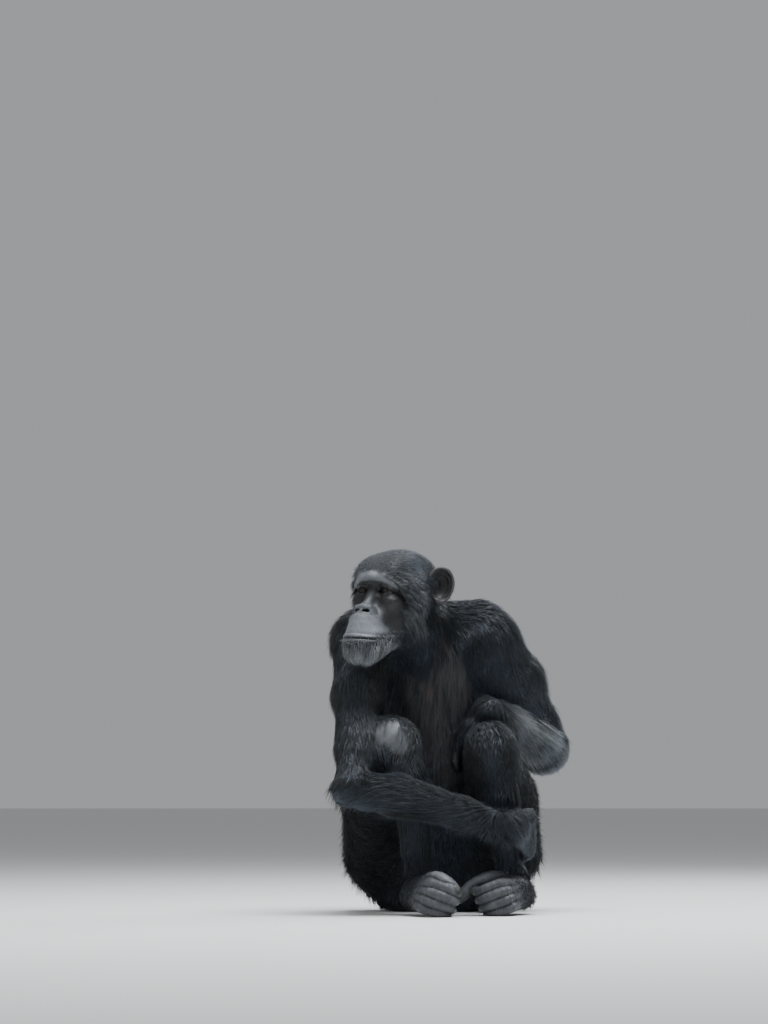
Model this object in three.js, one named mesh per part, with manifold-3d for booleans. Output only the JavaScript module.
import * as THREE from 'three';
import { mergeVertices } from 'three/addons/utils/BufferGeometryUtils.js';
import Module from 'manifold-3d';

const wasm = await Module();
wasm.setup();

// Driving dimensions in millimetres: +X is the animal's left, -Y its front, +Z up, floor at 0.
const GAP = 0.3; // clearance between neighbouring parts
const RANDOM_SEED = 1187;

// Coat: how deep a lock's root is sunk, and the sizes of the locks on each region.
const LOCK_SINK = 8;
const LOCKS = {
  back: { length: 116, width: 88, thickness: 8, rise: 18, roundness: 130 },
  upperArm: { length: 96, width: 60, thickness: 7, rise: 16, roundness: 56 },
  forearm: { length: 78, width: 48, thickness: 6, rise: 13, roundness: 48 },
  thigh: { length: 92, width: 60, thickness: 7, rise: 15, roundness: 76 },
  shin: { length: 78, width: 46, thickness: 6, rise: 12, roundness: 50 },
  neck: { length: 78, width: 54, thickness: 7, rise: 13, roundness: 70 },
  cheek: { length: 50, width: 28, thickness: 5, rise: 9, roundness: 60 },
  beard: { length: 26, width: 19, thickness: 4.5, rise: 5, roundness: 40 },
};

// Head: the point midway between the eyes, and the turn of the face towards the right side.
const BETWEEN_EYES = new THREE.Vector3(-137, -164, 675);
const HEAD_TURN = THREE.MathUtils.degToRad(36);
const HEAD_ROLL = THREE.MathUtils.degToRad(3); // how far the head leans towards its left side
const EYE_RADIUS = 12;
const EYE_SPACING = 58;
const EYE_SETBACK = 5;
const MOUTH_DROP = 103; // mouth line below the eyes
const LIP_REACH = 76; // lips ahead of the eyes
const EAR_HEIGHT = 76;
const EAR_WIDTH = 54;

// Trunk, as level sections from the seat to the base of the neck.
const TRUNK = [
  { height: 0, middle: [-5, 112], across: 104, front: 84, back: 78 },
  { height: 22, middle: [-5, 112], across: 136, front: 104, back: 96 },
  { height: 80, middle: [-5, 108], across: 150, front: 116, back: 112 },
  { height: 160, middle: [-5, 100], across: 148, front: 114, back: 120 },
  { height: 250, middle: [-5, 92], across: 144, front: 106, back: 124 },
  { height: 350, middle: [-6, 84], across: 150, front: 100, back: 126 },
  { height: 440, middle: [-8, 72], across: 160, front: 96, back: 122 },
  { height: 510, middle: [-8, 56], across: 158, front: 86, back: 112 },
  { height: 565, middle: [-20, 42], across: 146, front: 74, back: 98 },
  { height: 608, middle: [-26, 30], across: 124, front: 60, back: 84 },
  { height: 640, middle: [-28, 22], across: 84, front: 40, back: 60 },
];
const TRUNK_TOP = 640;
const PELVIS_TOP = 165;
const ABDOMEN_TOP = 300;

// Joints of the limbs.
const SHOULDER = { left: [106, -4, 576], right: [-164, -22, 572] };
const ELBOW = { left: [228, 122, 346], right: [-184, -206, 264] };
const WRIST = { left: [106, -72, 426], right: [146, -206, 186] };
const HIP = { left: [134, 90, 130], right: [-118, 92, 122] };
const KNEE = { left: [104, -118, 350], right: [-99, -146, 358] };
const ANKLE = { left: [150, -92, 84], right: [-44, -146, 84] };

// Half widths of the limbs, measured over the dense under part of the coat.
const UPPER_ARM_RADIUS = {
  left: { shoulder: 72, middle: 70, elbow: 57 },
  right: { shoulder: 70, middle: 50, elbow: 42 },
};
const FOREARM_RADIUS = {
  left: { elbow: 56, belly: 52, wrist: 31 },
  right: { elbow: 45, belly: 46, wrist: 30 },
};
const THIGH_RADIUS = { hip: 90, middle: 74, knee: 63 };
// How far each thigh swells to its outer side halfway, and its half width there.
const THIGH_SWELL = { left: [8, 80], right: [-18, 80] };
// How far each calf lies to the left of the line from knee to ankle.
const CALF_SHIFT = { left: 0, right: 20 };
const SHIN_RADIUS = { knee: 55, calf: 48, ankle: 32 };

// Foot: length with straight toes, and how far it is rolled onto its outer edge.
const FOOT_LENGTH = 212;
const FOOT_ROLL = THREE.MathUtils.degToRad(70);
const HEEL = { left: [152, -80, 39], right: [-40, -142, 39] };
const FOOT_HEADING = { left: [-0.2, -0.98], right: [0.15, -0.99] };

const SKIN_DARK = '#3b3836';
const COAT_BLACK = '#1d1e22';
const CHEST_SKIN = '#5b504c';
const EAR_SKIN = '#5a4d47';
const FACE_SKIN = '#45403f';
const NAIL_GREY = '#5f5854';
const EYE_BROWN = '#2c1a10';

const vec = (xyz) => new THREE.Vector3(...xyz);
const mix = THREE.MathUtils.lerp;

let randomState = RANDOM_SEED;
// A seeded random number between -1 and 1.
function wobble() {
  randomState = (randomState * 1664525 + 1013904223) % 4294967296;
  return (randomState / 4294967296) * 2 - 1;
}

// Turns a triangle mesh into a solid whose faces point outwards.
function solidOfMesh(positions, triangles) {
  let volume = 0;
  const a = new THREE.Vector3();
  const b = new THREE.Vector3();
  const c = new THREE.Vector3();
  for (let i = 0; i < triangles.length; i += 3) {
    a.fromArray(positions, triangles[i] * 3);
    b.fromArray(positions, triangles[i + 1] * 3);
    c.fromArray(positions, triangles[i + 2] * 3);
    volume += a.dot(b.cross(c));
  }
  const order = volume < 0 ? [...triangles].reverse() : triangles;
  return new wasm.Manifold(new wasm.Mesh({
    numProp: 3,
    vertProperties: new Float32Array(positions),
    triVerts: new Uint32Array(order),
  }));
}

// Turns a three.js geometry into a solid.
function solidOfGeometry(geometry) {
  const bare = geometry.clone();
  bare.deleteAttribute('normal');
  bare.deleteAttribute('uv');
  const merged = mergeVertices(bare, 1e-4);
  return solidOfMesh(Array.from(merged.attributes.position.array), Array.from(merged.index.array));
}

// Skins a row of rings, each with the same number of points, and closes both ends on a point.
function loft(rings, first, last) {
  const positions = [...first.toArray()];
  const triangles = [];
  const count = rings[0].length;
  for (const ring of rings) {
    for (const point of ring) positions.push(...point.toArray());
  }
  positions.push(...last.toArray());
  const end = positions.length / 3 - 1;
  const at = (ring, i) => 1 + ring * count + (i % count);
  for (let i = 0; i < count; i++) {
    triangles.push(0, at(0, i + 1), at(0, i));
    triangles.push(end, at(rings.length - 1, i), at(rings.length - 1, i + 1));
    for (let ring = 0; ring + 1 < rings.length; ring++) {
      triangles.push(at(ring, i), at(ring, i + 1), at(ring + 1, i));
      triangles.push(at(ring, i + 1), at(ring + 1, i + 1), at(ring + 1, i));
    }
  }
  return solidOfMesh(positions, triangles);
}

// A round limb along a smooth path; each station is a place with a half width and half depth.
class Limb {
  constructor(stations, across, steps = 5, sides = 11, domes = [Math.PI / 6, Math.PI / 3]) {
    this.path = new THREE.CatmullRomCurve3(stations.map((s) => vec(s.at)), false, 'centripetal');
    this.stations = stations;
    this.across = vec(across).normalize();
    this.steps = steps;
    this.sides = sides;
    this.domes = domes;
  }

  // The centre, the two cross directions and the half sizes at a share of the limb's length.
  section(share) {
    const last = this.stations.length - 1;
    const place = Math.min(Math.max(share, 0), 1) * last;
    const from = Math.min(Math.floor(place), last - 1);
    const part = THREE.MathUtils.smoothstep(place - from, 0, 1) * 0.5 + (place - from) * 0.5;
    const [start, stop] = [this.stations[from], this.stations[from + 1]];
    const along = this.path.getTangent(place / last);
    const side = this.across.clone().addScaledVector(along, -this.across.dot(along)).normalize();
    return {
      centre: this.path.getPoint(place / last),
      along,
      side,
      up: new THREE.Vector3().crossVectors(along, side),
      wide: mix(start.wide, stop.wide, part),
      deep: mix(start.deep ?? start.wide, stop.deep ?? stop.wide, part),
    };
  }

  ring(share, shift, scale, grow) {
    const s = this.section(share);
    const points = [];
    for (let i = 0; i < this.sides; i++) {
      const turn = (i / this.sides) * Math.PI * 2;
      points.push(s.centre.clone()
        .addScaledVector(s.along, shift)
        .addScaledVector(s.side, Math.cos(turn) * (s.wide + grow) * scale)
        .addScaledVector(s.up, Math.sin(turn) * (s.deep + grow) * scale));
    }
    return points;
  }

  // A place on the surface: share along the limb, turn around it in degrees.
  surface(share, degrees) {
    const s = this.section(share);
    const turn = THREE.MathUtils.degToRad(degrees);
    const out = s.side.clone().multiplyScalar(Math.cos(turn) * s.wide)
      .addScaledVector(s.up, Math.sin(turn) * s.deep);
    return { at: s.centre.clone().add(out), out: out.clone().normalize(), along: s.along };
  }

  solid(grow = 0) {
    const rings = [];
    const start = this.section(0);
    const stop = this.section(1);
    for (const angle of this.domes) {
      const reach = Math.cos(angle) * (Math.min(start.wide, start.deep) + grow);
      rings.push(this.ring(0, -reach, Math.sin(angle), grow));
    }
    for (let i = 0; i <= this.steps; i++) rings.push(this.ring(i / this.steps, 0, 1, grow));
    for (const angle of [...this.domes].reverse()) {
      const reach = Math.cos(angle) * (Math.min(stop.wide, stop.deep) + grow);
      rings.push(this.ring(1, reach, Math.sin(angle), grow));
    }
    const startTip = start.centre.clone()
      .addScaledVector(start.along, -(Math.min(start.wide, start.deep) + grow));
    const stopTip = stop.centre.clone()
      .addScaledVector(stop.along, Math.min(stop.wide, stop.deep) + grow);
    return loft(rings, startTip, stopTip);
  }
}

// A flat lock of hair that tapers and bends over, from its root out along the lie to a thin tip;
// its edges are lowered to hug a surface of the given roundness.
function lock({ root, out, lie, length, width, thickness, rise, roundness }, grow = 0) {
  const side = new THREE.Vector3().crossVectors(lie, out).normalize();
  const centreAt = (share) => root.clone()
    .addScaledVector(out, -LOCK_SINK * (1 - share) ** 2 + rise * Math.sin(share * Math.PI * 0.6))
    .addScaledVector(lie, length * share);
  const rings = [0, 0.4, 0.75].map((share) => {
    const centre = centreAt(share);
    const half = width * 0.5 * (1 - 0.7 * share * share);
    const thick = thickness * (1 - 0.4 * share);
    const lowered = -(half * half) / (2 * roundness);
    const ring = [
      centre.clone().addScaledVector(side, half + 4 * grow).addScaledVector(out, lowered),
      centre.clone().addScaledVector(out, thick + 1.5 * grow),
      centre.clone().addScaledVector(side, -half - 4 * grow).addScaledVector(out, lowered),
    ];
    if (grow) ring.push(centre.clone().addScaledVector(out, lowered - 1.5 * grow));
    return ring;
  });
  const base = centreAt(0).addScaledVector(lie, -2 - grow).addScaledVector(out, thickness * 0.3);
  const tip = centreAt(1).addScaledVector(lie, grow * 3).addScaledVector(out, thickness * 0.2);
  return loft(rings, base, tip);
}

// Staggered rows of locks: one row for each place, evenly spread between two turns.
function coatRows(places, turns, perRow, makeLock) {
  const locks = [];
  places.forEach((place, row) => {
    const stagger = row % 2 ? 0.5 : 0;
    for (let i = 0; i < perRow; i++) {
      const turn = mix(turns[0], turns[1], (i + 0.25 + stagger) / perRow) + wobble() * 4;
      locks.push(makeLock(place, turn));
    }
  });
  return locks;
}

// Rows of locks on a limb.
function coatOn(limb, { shares, turns, perRow, ...kind }) {
  return coatRows(shares, turns, perRow, (share, turn) => {
    const spot = limb.surface(share + wobble() * 0.02, turn);
    return lockAt(spot, kind);
  });
}

// One lock at a surface spot, laid along the given direction as far as the surface lets it.
function lockAt(spot, { lie, length, width, thickness, rise, roundness }) {
  const wanted = lie(spot);
  const flat = wanted.clone().addScaledVector(spot.out, -wanted.dot(spot.out)).normalize();
  const swing = new THREE.Vector3().crossVectors(spot.out, flat).multiplyScalar(wobble() * 0.22);
  const change = 1 + wobble() * 0.18;
  return {
    root: spot.at,
    out: spot.out,
    lie: flat.add(swing).normalize(),
    length: length * change,
    width: width * (1 + wobble() * 0.15),
    thickness,
    rise: rise * change,
    roundness,
  };
}

// One rounded step at each end is enough on a thin digit.
const SMALL_DOME = [Math.PI / 4];

// Ways for a lock to lie: straight down, down and outwards, or along a limb with some fall.
const DOWN = new THREE.Vector3(0, 0, -1);
const downward = () => DOWN;
const downLimb = (spot) => spot.along.clone().addScaledVector(DOWN, 0.5);
const upLimb = (spot) => spot.along.clone().multiplyScalar(-1).addScaledVector(DOWN, 0.7);

// Joins solids into one.
function join(solids) {
  return solids.reduce((whole, solid) => whole.add(solid));
}

// Trunk sections, evenly blended between the listed heights.
function trunkSection(height) {
  let i = 0;
  while (i + 2 < TRUNK.length && TRUNK[i + 1].height < height) i++;
  const [low, high] = [TRUNK[i], TRUNK[i + 1]];
  const part = (height - low.height) / (high.height - low.height);
  return {
    x: mix(low.middle[0], high.middle[0], part),
    y: mix(low.middle[1], high.middle[1], part),
    across: mix(low.across, high.across, part),
    front: mix(low.front, high.front, part),
    back: mix(low.back, high.back, part),
  };
}

const TRUNK_SIDES = 22;

// A place on the trunk's surface: turn 0 is the left side, 90 the back, 270 the front.
function trunkPoint(height, degrees, grow = 0) {
  const s = trunkSection(height);
  const turn = THREE.MathUtils.degToRad(degrees);
  const square = (value) => Math.sign(value) * Math.abs(value) ** 0.86;
  const depth = Math.sin(turn) > 0 ? s.back : s.front;
  return new THREE.Vector3(
    s.x + square(Math.cos(turn)) * (s.across + grow),
    s.y + square(Math.sin(turn)) * (depth + grow),
    height,
  );
}

function trunkSpot(height, degrees) {
  const at = trunkPoint(height, degrees);
  const ahead = trunkPoint(height, degrees + 3).sub(at);
  const above = trunkPoint(height + 4, degrees).sub(at);
  return { at, out: new THREE.Vector3().crossVectors(ahead, above).normalize() };
}

// A slice of the trunk between two heights, with level ends.
function trunkSlice(from, to, grow) {
  const heights = [from - grow];
  for (const s of TRUNK) {
    if (s.height > from + 8 && s.height < to - 8) heights.push(s.height);
  }
  heights.push(to + grow);
  const rings = heights.map((height) => {
    const ring = [];
    for (let i = 0; i < TRUNK_SIDES; i++) {
      const point = trunkPoint(Math.min(Math.max(height, 0), TRUNK_TOP), (i / TRUNK_SIDES) * 360, grow);
      ring.push(point.setZ(height));
    }
    return ring;
  });
  const centre = (height) => {
    const s = trunkSection(height);
    return new THREE.Vector3(s.x, s.y, height);
  };
  return loft(rings, centre(heights[0]), centre(heights[heights.length - 1]));
}

// The shoulder girdle, a bar of muscle across the top of the chest.
function yoke() {
  return new Limb([
    { at: [76, 12, 621], wide: 56, deep: 54 },
    { at: [-28, 30, 604], wide: 60, deep: 52 },
    { at: [-152, 0, 586], wide: 58, deep: 54 },
  ], [0, 1, 0], 4, 12);
}

function chestSolid(grow) {
  return trunkSlice(ABDOMEN_TOP + GAP, TRUNK_TOP, grow).add(yoke().solid(grow));
}

// Head: places are given as ahead of, left of and above the point between the eyes.
const FACE_AHEAD = new THREE.Vector3(-Math.sin(HEAD_TURN), -Math.cos(HEAD_TURN), 0);
const FACE_LEFT = new THREE.Vector3(Math.cos(HEAD_TURN), -Math.sin(HEAD_TURN), -Math.tan(HEAD_ROLL)).normalize();
const FACE_UP = new THREE.Vector3().crossVectors(FACE_AHEAD, FACE_LEFT);

function headPlace(ahead, left, above) {
  return BETWEEN_EYES.clone()
    .addScaledVector(FACE_AHEAD, ahead)
    .addScaledVector(FACE_LEFT, left)
    .addScaledVector(FACE_UP, above);
}

function headDirection(ahead, left, above) {
  return headPlace(ahead, left, above).sub(BETWEEN_EYES).normalize();
}

// Distances to simple shapes, blended softly into one another.
function toEllipsoid(p, centre, radii) {
  const d = [0, 1, 2].map((i) => (p[i] - centre[i]) / radii[i]);
  const size = Math.hypot(...d);
  const slope = Math.hypot(...[0, 1, 2].map((i) => d[i] / radii[i]));
  return size < 1e-6 ? -Math.min(...radii) : (size * (size - 1)) / slope;
}

function toRod(p, a, b, radiusA, radiusB) {
  const along = [0, 1, 2].map((i) => b[i] - a[i]);
  const from = [0, 1, 2].map((i) => p[i] - a[i]);
  const squared = along[0] ** 2 + along[1] ** 2 + along[2] ** 2;
  const dot = along[0] * from[0] + along[1] * from[1] + along[2] * from[2];
  const share = Math.min(Math.max(dot / squared, 0), 1);
  const off = [0, 1, 2].map((i) => from[i] - along[i] * share);
  return Math.hypot(...off) - mix(radiusA, radiusB, share);
}

function blend(a, b, softness) {
  const h = Math.max(softness - Math.abs(a - b), 0) / softness;
  return Math.min(a, b) - h * h * softness * 0.25;
}

// How far a place, in head directions, lies outside the bare shape of the head.
function headDistance(ahead, left, above) {
  const p = [ahead, Math.abs(left), above];
  let d = toEllipsoid(p, [-86, 0, 21], [98, 71, 68]);
  d = blend(d, toEllipsoid(p, [-38, 0, -26], [52, 56, 54]), 22);
  d = blend(d, toEllipsoid(p, [-14, 40, -22], [26, 24, 18]), 16);
  d = blend(d, toRod(p, [12, 0, 30], [6, 28, 29], 12, 12), 8);
  d = blend(d, toRod(p, [6, 28, 29], [-6, 52, 17], 12, 10), 8);
  d = blend(d, toEllipsoid(p, [22, 0, -72], [46, 34, 34]), 18);
  d = blend(d, toEllipsoid(p, [20, 0, -97], [53, 42, 27]), 16);
  d = blend(d, toEllipsoid(p, [25, 0, -32], [12, 13, 16]), 12);
  d = blend(d, toEllipsoid(p, [31, 9, -42], [10, 9, 8]), 7);
  d = blend(d, toEllipsoid(p, [31, 0, -123], [36, 34, 24]), 14);
  d = blend(d, toRod(p, [30, 24, -118], [-62, 48, -82], 24, 26), 22);
  d = blend(d, toEllipsoid(p, [-52, 0, -84], [62, 52, 46]), 26);
  d = blend(d, toRod(p, [-66, 60, -14], [-44, 50, -66], 22, 24), 24);
  const socket = toEllipsoid(p, [14, EYE_SPACING / 2, -3], [15, 17, 13]);
  return -blend(-d, socket, 9);
}

const HEAD_HEART = [-42, 0, -34];

// Where the line from the middle of the head in a given direction leaves the head.
function headSurface(direction, grow = 0) {
  let far = 190;
  for (let step = 0; step < 60; step++) {
    const p = HEAD_HEART.map((value, i) => value + direction[i] * far);
    const d = headDistance(...p) - grow;
    if (Math.abs(d) < 0.02) break;
    far -= d * 0.8;
  }
  return HEAD_HEART.map((value, i) => value + direction[i] * far);
}

function headSpot(aroundDegrees, offAxisDegrees) {
  const around = THREE.MathUtils.degToRad(aroundDegrees);
  const off = THREE.MathUtils.degToRad(offAxisDegrees);
  const direction = [Math.cos(off), Math.sin(off) * Math.cos(around), Math.sin(off) * Math.sin(around)];
  const place = headSurface(direction);
  const step = 1.5;
  const slope = [0, 1, 2].map((axis) => {
    const more = place.map((value, i) => value + (i === axis ? step : 0));
    const less = place.map((value, i) => value - (i === axis ? step : 0));
    return headDistance(...more) - headDistance(...less);
  });
  return { at: headPlace(...place), out: headDirection(...slope) };
}

function headShell(grow) {
  const ringCount = 20;
  const sides = 28;
  const rings = [];
  for (let i = 1; i < ringCount; i++) {
    const off = (i / ringCount) ** 1.25 * Math.PI;
    const ring = [];
    for (let j = 0; j < sides; j++) {
      const around = (j / sides) * Math.PI * 2;
      const direction = [Math.cos(off), Math.sin(off) * Math.cos(around), Math.sin(off) * Math.sin(around)];
      ring.push(headPlace(...headSurface(direction, grow)));
    }
    rings.push(ring);
  }
  const nose = headPlace(...headSurface([1, 0, 0], grow));
  const nape = headPlace(...headSurface([-1, 0, 0], grow));
  return loft(rings, nose, nape);
}

// A ball stretched along the head's own directions.
function headBall(place, radii, grow = 0, detail = [12, 8]) {
  const ball = new THREE.SphereGeometry(1, ...detail);
  const turn = new THREE.Matrix4().makeBasis(FACE_AHEAD, FACE_LEFT, FACE_UP);
  ball.scale(...radii.map((radius) => radius + grow));
  ball.applyMatrix4(turn);
  ball.translate(...headPlace(...place).toArray());
  return solidOfGeometry(ball);
}

// The line of the mouth from corner to corner.
function mouthPlace(share, ahead = 0, above = 0) {
  const turn = (share - 0.5) * Math.PI * 0.86;
  return headPlace(
    30 + Math.cos(turn) * (LIP_REACH - 30) + ahead,
    Math.sin(turn) * 41,
    -MOUTH_DROP - 2.5 * Math.abs(2 * share - 1) + above,
  );
}

function lip(above, radius) {
  const stations = [];
  for (let i = 0; i <= 6; i++) {
    const share = i / 6;
    const slim = radius * (0.55 + 0.45 * Math.sin(share * Math.PI));
    stations.push({ at: mouthPlace(share, -3.5, above).toArray(), wide: slim, deep: slim });
  }
  return new Limb(stations, [0, 0, 1], 7, 5, SMALL_DOME).solid();
}

function mouthCut() {
  const stations = [];
  for (let i = 0; i <= 6; i++) {
    const share = mix(0.02, 0.98, i / 6);
    const open = 0.7 + 0.9 * Math.sin(share * Math.PI);
    stations.push({ at: mouthPlace(share, -1, 0).toArray(), wide: open, deep: 8 });
  }
  return new Limb(stations, [0, 0, 1], 7, 5, SMALL_DOME).solid();
}

const EYES = { left: EYE_SPACING / 2, right: -EYE_SPACING / 2 };

function eyeBall(side, grow = 0) {
  const size = EYE_RADIUS + grow;
  return headBall([-EYE_SETBACK, EYES[side], -2], [size, size, size], 0, [12, 8]);
}

// Lids: a cap over each eye with an almond opening.
function lids(side) {
  const size = EYE_RADIUS + 2.6;
  return headBall([-EYE_SETBACK, EYES[side], -2], [size, size, size]);
}

function lidOpening(side) {
  return headBall([8, EYES[side] * 0.98, -2], [12, 11.5, 4.6], 0, [12, 6]);
}

function headSolid() {
  let head = headShell(0);
  head = join([head, lids('left'), lids('right'), lip(5.5, 4.6), lip(-5.2, 4.2)]);
  for (const side of ['left', 'right']) {
    head = head.subtract(lidOpening(side)).subtract(eyeBall(side, GAP));
    const nostril = side === 'left' ? 7.5 : -7.5;
    head = head.subtract(headBall([37, nostril, -46], [7, 4.6, 3.2], 0, [8, 5]));
  }
  return head.subtract(mouthCut());
}

// An ear: a cupped disc with a thick rolled rim, standing out from the side of the head.
function ear(side) {
  const sign = side === 'left' ? 1 : -1;
  const facing = headDirection(0.72, 0.69 * sign, 0.05);
  const across = headDirection(-0.69, 0.72 * sign, 0);
  const centre = headPlace(-117, 86 * sign, 16);
  const sides = 15;
  const ring = (share, height) => {
    const points = [];
    for (let i = 0; i < sides; i++) {
      const turn = (i / sides) * Math.PI * 2;
      const top = 1 + 0.12 * Math.sin(turn);
      points.push(centre.clone()
        .addScaledVector(across, Math.cos(turn) * share * EAR_WIDTH * 0.5 * top)
        .addScaledVector(FACE_UP, Math.sin(turn) * share * EAR_HEIGHT * 0.5)
        .addScaledVector(facing, height));
    }
    return points;
  };
  const rings = [
    ring(0.4, -11), ring(0.74, -4), ring(0.84, 2), ring(0.95, 4),
    ring(1, 0), ring(0.9, -6), ring(0.5, -15),
  ];
  const deep = centre.clone().addScaledVector(facing, -12);
  const behind = centre.clone().addScaledVector(facing, -17);
  const root = new Limb([
    { at: headPlace(-107, 58 * sign, 12).toArray(), wide: 12, deep: 20 },
    { at: centre.clone().addScaledVector(facing, -12).toArray(), wide: 7, deep: 14 },
  ], [1, 0, 0], 2, 8, SMALL_DOME);
  return loft(rings, deep, behind).add(root.solid());
}

// Limbs by side.
function upperArm(side) {
  const [a, b] = [vec(SHOULDER[side]), vec(ELBOW[side])];
  const half = a.clone().lerp(b, 0.5);
  const radius = UPPER_ARM_RADIUS[side];
  return new Limb([
    { at: a.toArray(), wide: radius.shoulder * 0.9, deep: radius.shoulder },
    { at: half.toArray(), wide: radius.middle },
    { at: b.toArray(), wide: radius.elbow },
  ], [1, 0, 0]);
}

function forearm(side) {
  const [a, b] = [vec(ELBOW[side]), vec(WRIST[side])];
  const bow = side === 'right' ? [0, -14, 6] : [10, 0, 8];
  const radius = FOREARM_RADIUS[side];
  return new Limb([
    { at: a.toArray(), wide: radius.elbow },
    { at: a.clone().lerp(b, 0.4).add(vec(bow)).toArray(), wide: radius.belly },
    { at: b.toArray(), wide: radius.wrist, deep: radius.wrist * 0.85 },
  ], [0, 0, 1]);
}

function thigh(side) {
  const [a, b] = [vec(HIP[side]), vec(KNEE[side])];
  const [swell, halfWidth] = THIGH_SWELL[side];
  return new Limb([
    { at: a.toArray(), wide: THIGH_RADIUS.hip },
    { at: a.clone().lerp(b, 0.5).add(vec([swell, 0, 0])).toArray(), wide: halfWidth, deep: THIGH_RADIUS.middle },
    { at: b.toArray(), wide: THIGH_RADIUS.knee },
  ], [1, 0, 0]);
}

function shin(side) {
  const [a, b] = [vec(KNEE[side]), vec(ANKLE[side])];
  return new Limb([
    { at: a.toArray(), wide: SHIN_RADIUS.knee },
    { at: a.clone().lerp(b, 0.4).add(vec([CALF_SHIFT[side], 10, 0])).toArray(), wide: SHIN_RADIUS.calf },
    { at: b.toArray(), wide: SHIN_RADIUS.ankle },
  ], [1, 0, 0]);
}

// Foot: places are ahead of the heel, towards the inner edge, and up from the sole.
function footFrame(side) {
  const ahead = vec([...FOOT_HEADING[side], 0]).normalize();
  const up = new THREE.Vector3(0, 0, 1);
  const level = new THREE.Vector3().crossVectors(up, ahead).multiplyScalar(side === 'left' ? -1 : 1);
  const inner = level.clone().multiplyScalar(Math.cos(FOOT_ROLL)).addScaledVector(up, Math.sin(FOOT_ROLL));
  const top = up.clone().multiplyScalar(Math.cos(FOOT_ROLL)).addScaledVector(level, -Math.sin(FOOT_ROLL));
  const heel = vec(HEEL[side]);
  return {
    inner,
    place: (x, y, z) => heel.clone()
      .addScaledVector(ahead, x)
      .addScaledVector(inner, y)
      .addScaledVector(top, z)
      .toArray(),
  };
}

// The big toe's places: on the left it reaches across in front, on the right it lies along the foot.
const BIG_TOE = {
  left: [[70, 18, 14], [112, 42, -6], [128, 44, -44], [134, 28, -86]],
  right: [[70, 18, 14], [108, 38, 4], [132, 40, -14], [146, 30, -38]],
};
const BIG_TOE_RADII = [21, 17, 15, 13];

// The smaller toes curl towards the sole.
function footToe(side, number) {
  const { inner, place } = footFrame(side);
  const reach = FOOT_LENGTH;
  if (number === 1) {
    const stations = BIG_TOE[side].map((spot, i) => ({ at: place(...spot), wide: BIG_TOE_RADII[i] }));
    return new Limb(stations, inner.toArray(), 2, 7, SMALL_DOME);
  }
  const spread = 27 - (number - 2) * 18;
  const long = [0, 0, 0.97, 1, 0.98, 0.93][number];
  return new Limb([
    { at: place(reach * 0.58, spread * 0.9, 14), wide: 13 },
    { at: place(reach * 0.74 * long, spread, 7), wide: 11.5 },
    { at: place(reach * 0.76 * long, spread, -20), wide: 10.5 },
    { at: place(reach * 0.68 * long, spread, -46), wide: 10 },
  ], inner.toArray(), 2, 6, SMALL_DOME);
}

function footSole(side) {
  const { inner, place } = footFrame(side);
  return new Limb([
    { at: place(0, -6, 18), wide: 29, deep: 27 },
    { at: place(FOOT_LENGTH * 0.3, -2, 22), wide: 32, deep: 26 },
    { at: place(FOOT_LENGTH * 0.6, 0, 12), wide: 38, deep: 17 },
  ], inner.toArray(), 3, 10, SMALL_DOME);
}

// Hand: a palm between wrist and knuckles, and five curled digits.
const HANDS = {
  right: {
    knuckles: [180, -134, 160],
    fingersTo: [[170, -92, 148], [140, -72, 142]],
    towardsThumb: [0, 0.2, 1],
    thumb: [[176, -172, 204], [182, -142, 206]],
  },
  left: {
    knuckles: [54, -42, 376],
    fingersTo: [[42, -40, 334], [40, -50, 302]],
    towardsThumb: [-0.35, -0.94, 0],
    thumb: [[68, -88, 396], [50, -94, 372]],
  },
};

function handPalm(side) {
  const hand = HANDS[side];
  return new Limb([
    { at: WRIST[side], wide: 30, deep: 24 },
    { at: vec(WRIST[side]).lerp(vec(hand.knuckles), 0.6).toArray(), wide: 38, deep: 19 },
    { at: hand.knuckles, wide: 40, deep: 16 },
  ], hand.towardsThumb, 3, 9, SMALL_DOME);
}

function handFinger(side, number) {
  const hand = HANDS[side];
  const across = vec(hand.towardsThumb).normalize();
  if (number === 1) {
    return new Limb([
      { at: vec(WRIST[side]).lerp(vec(hand.knuckles), 0.25).addScaledVector(across, 18).toArray(), wide: 14 },
      { at: hand.thumb[0], wide: 12 },
      { at: hand.thumb[1], wide: 9.5 },
    ], hand.towardsThumb, 3, 6, SMALL_DOME);
  }
  const spread = 28 - (number - 2) * 18.5;
  const long = [0, 0, 0.9, 1, 0.95, 0.8][number];
  const start = vec(hand.knuckles).addScaledVector(across, spread);
  const bend = vec(hand.knuckles).lerp(vec(hand.fingersTo[0]), long).addScaledVector(across, spread);
  const tip = bend.clone().add(vec(hand.fingersTo[1]).sub(vec(hand.fingersTo[0])).multiplyScalar(long));
  return new Limb([
    { at: start.toArray(), wide: 12.5 },
    { at: bend.toArray(), wide: 11.5 },
    { at: tip.toArray(), wide: 9.5 },
  ], hand.towardsThumb, 3, 6, SMALL_DOME);
}

function neck() {
  return new Limb([
    { at: [-14, 34, 556], wide: 84, deep: 72 },
    { at: [-24, 8, 610], wide: 70, deep: 66 },
    { at: headPlace(-96, 0, -36).toArray(), wide: 58, deep: 56 },
  ], [1, 0, 0], 5, 14);
}

// Gathers the parts in order; each new part is cut clear of the ones before it.
const nodes = [];
const floorBlock = new THREE.BoxGeometry(1400, 1400, 200);
floorBlock.translate(0, 0, -100);
const belowFloor = solidOfGeometry(floorBlock);

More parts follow.
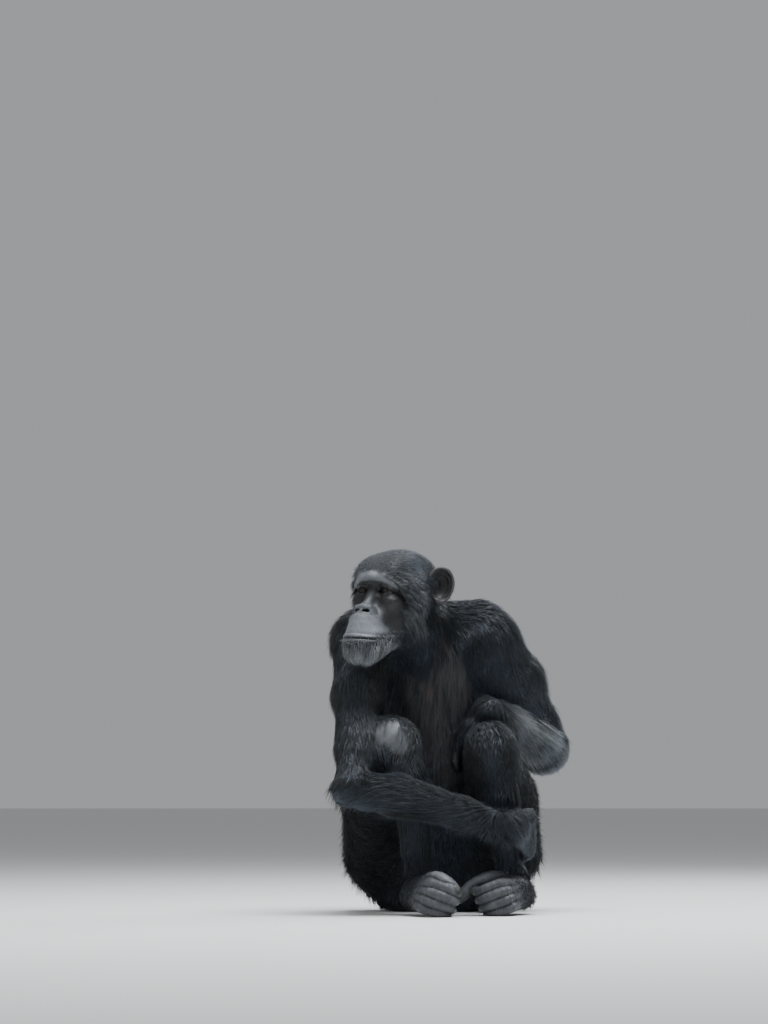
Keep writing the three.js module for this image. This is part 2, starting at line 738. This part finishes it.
// Adds a part: its shape as a function of how far it is grown, and the locks that grow from it.
function addNode(name, look, shape, locks = []) {
  let solid = join([shape(0), ...locks.map((spec) => lock(spec))]);
  const box = solid.boundingBox();
  for (const other of nodes) {
    const theirs = other.grown.boundingBox();
    const apart = [0, 1, 2].some((i) => box.min[i] > theirs.max[i] || box.max[i] < theirs.min[i]);
    if (!apart) solid = solid.subtract(other.grown);
  }
  const pieces = solid.subtract(belowFloor).decompose();
  pieces.sort((a, b) => b.volume() - a.volume());
  nodes.push({ name, look, solid: pieces[0], grown: join([shape(GAP), ...locks.map((spec) => lock(spec, GAP))]) });
}

const looks = {
  coat: { color: COAT_BLACK, roughness: 0.85, metalness: 0 },
  face: { color: FACE_SKIN, roughness: 0.6, metalness: 0 },
  chest: { color: CHEST_SKIN, roughness: 0.7, metalness: 0 },
  skin: { color: SKIN_DARK, roughness: 0.6, metalness: 0 },
  ear: { color: EAR_SKIN, roughness: 0.6, metalness: 0 },
  eye: { color: EYE_BROWN, roughness: 0.15, metalness: 0 },
};

const SIDES = ['left', 'right'];

// The turns around an arm or leg that face away from the body, for the left and the right limb.
const OUTER_TURNS = { left: [-125, 125], right: [55, 305] };

function addLimb(name, limb, turns, coat) {
  addNode(name, looks.coat, (grow) => limb.solid(grow), coatOn(limb, { ...coat, turns }));
}

// Rows of locks on the back and sides of the trunk, between two turns around it.
function trunkCoat(heights, turns, perRow) {
  return coatRows(heights, turns, perRow, (height, turn) => (
    lockAt(trunkSpot(height, turn), { lie: downward, ...LOCKS.back })
  ));
}

// Side whiskers from the temples to the jaw, and the short beard round the chin.
function headCoat() {
  const locks = [];
  const back = FACE_AHEAD.clone().multiplyScalar(-0.75);
  for (const sign of [1, -1]) {
    for (let i = 0; i < 4; i++) {
      const around = 90 - sign * mix(72, 142, i / 3);
      const spot = headSpot(around, mix(92, 80, i / 3) + wobble() * 3);
      locks.push(lockAt(spot, { lie: () => DOWN.clone().add(back), ...LOCKS.cheek }));
    }
  }
  const forward = FACE_AHEAD.clone().multiplyScalar(0.25);
  for (const [row, off] of [43, 56].entries()) {
    for (let i = 0; i < 6; i++) {
      const around = -90 + mix(-52, 52, (i + 0.5 * row) / 5.5) + wobble() * 3;
      const spot = headSpot(around, off + Math.abs(i - 2.5) * 1.5);
      locks.push(lockAt(spot, { lie: () => DOWN.clone().add(forward), ...LOCKS.beard }));
    }
  }
  return locks;
}

for (const side of SIDES) addNode(`eye_${side}`, looks.eye, (grow) => eyeBall(side, grow));
addNode('head', looks.face, (grow) => (grow ? headShell(grow) : headSolid()), headCoat());
addNode('pelvis', looks.coat, (grow) => trunkSlice(0, PELVIS_TOP, grow), trunkCoat([128], [0, 180], 4));
addNode('abdomen', looks.chest, (grow) => trunkSlice(PELVIS_TOP + GAP, ABDOMEN_TOP, grow), trunkCoat([262], [0, 180], 4));
addNode('chest', looks.chest, chestSolid, [...trunkCoat([370], [0, 180], 4), ...trunkCoat([455, 540], [25, 155], 4)]);
const nape = neck();
addNode('neck', looks.coat, (grow) => nape.solid(grow),
  coatOn(nape, { shares: [0.55], turns: [0, 210], perRow: 4, lie: upLimb, ...LOCKS.neck }));
for (const side of SIDES) {
  addNode(`ear_${side}`, looks.ear, () => ear(side));
  addLimb(`thigh_${side}`, thigh(side), OUTER_TURNS[side],
    { shares: [0.3, 0.6], perRow: 4, lie: downLimb, ...LOCKS.thigh });
  addLimb(`shin_${side}`, shin(side), [0, 300],
    { shares: [0.25, 0.6], perRow: 3, lie: downLimb, ...LOCKS.shin });
}
for (const side of SIDES) {
  const parts = [footSole(side), ...[1, 2, 3, 4, 5].map((number) => footToe(side, number))];
  addNode(`foot_${side}`, looks.skin, (grow) => join(parts.map((part) => part.solid(grow))));
}
for (const side of SIDES) {
  addLimb(`upper_arm_${side}`, upperArm(side), OUTER_TURNS[side],
    { shares: [0.06, 0.34, 0.62], perRow: 4, lie: downLimb, ...LOCKS.upperArm });
}
for (const side of SIDES) {
  addLimb(`forearm_${side}`, forearm(side), [0, 360],
    { shares: [0.35, 0.75], perRow: 4, lie: upLimb, ...LOCKS.forearm });
}
for (const side of SIDES) {
  const parts = [handPalm(side), ...[1, 2, 3, 4, 5].map((number) => handFinger(side, number))];
  addNode(`hand_${side}`, looks.skin, (grow) => join(parts.map((part) => part.solid(grow))));
}

// Sets the whole animal over the middle of its own footprint and hands each part over as a mesh.
const whole = new THREE.Box3();
for (const { solid } of nodes) {
  const box = solid.boundingBox();
  whole.union(new THREE.Box3(vec(box.min), vec(box.max)));
}
const middle = whole.getCenter(new THREE.Vector3());

const group = new THREE.Group();
for (const { name, look, solid } of nodes) {
  const mesh = solid.getMesh();
  const geometry = new THREE.BufferGeometry();
  geometry.setAttribute('position', new THREE.BufferAttribute(new Float32Array(mesh.vertProperties), 3));
  geometry.setIndex(new THREE.BufferAttribute(new Uint32Array(mesh.triVerts), 1));
  geometry.translate(-middle.x, -middle.y, 0);
  geometry.computeVertexNormals();
  const part = new THREE.Mesh(geometry, new THREE.MeshStandardMaterial(look));
  part.name = name;
  group.add(part);
}

export default group;
